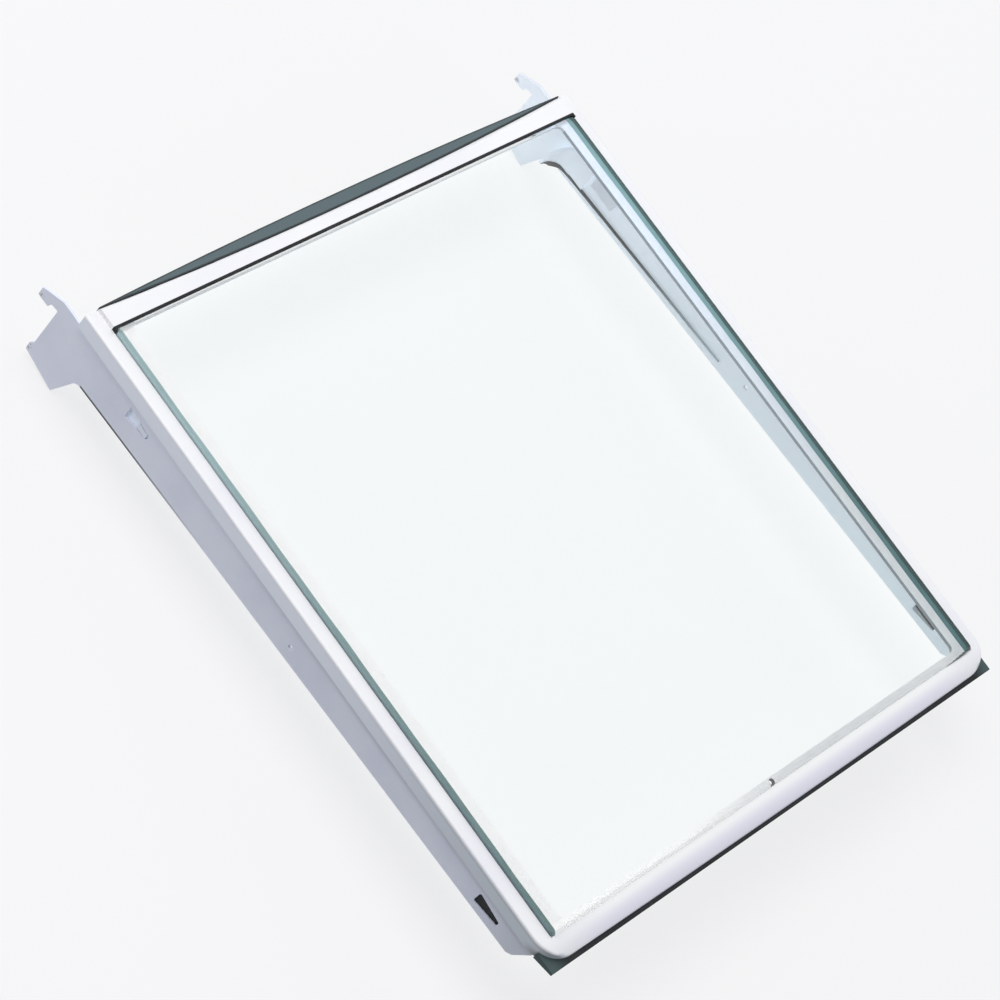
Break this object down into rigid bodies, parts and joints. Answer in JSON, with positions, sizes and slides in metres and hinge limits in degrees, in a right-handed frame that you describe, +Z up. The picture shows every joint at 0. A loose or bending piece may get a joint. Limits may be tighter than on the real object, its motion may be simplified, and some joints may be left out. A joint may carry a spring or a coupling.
{
  "type": "refrigerator glass shelf",
  "caption": "Cantilever refrigerator shelf: a clear glass pane in a white moulded rim with dark soft edge strips, carried by hooked white steel arms that hang in a rear track.",
  "frame": {"origin": "middle of the pane's top face", "axes": "+X to the right, +Y to the rear where the hooks are, +Z up"},
  "size_m": [0.404, 0.464, 0.0706],
  "materials": {
    "clear_glass": "clear float glass, green at the edges, edges ground round",
    "white_plastic": "white moulded plastic, satin gloss",
    "white_paint": "white powder coat, fine texture",
    "black_rubber": "matte near-black soft strip",
    "grey_rubber": "matte dark grey-green soft strip"
  },
  "bodies": {
    "root": {"glass_pane": "clear_glass", "rear_seal": "black_rubber", "shelf_rim": "white_plastic", "front_bumper": "black_rubber", "rear_bumper": "grey_rubber", "left_arm": "white_paint", "right_arm": "white_paint", "left_ear": "white_paint", "right_ear": "white_paint", "left_plug": "black_rubber", "right_plug": "black_rubber"}
  },
  "joints": []
}
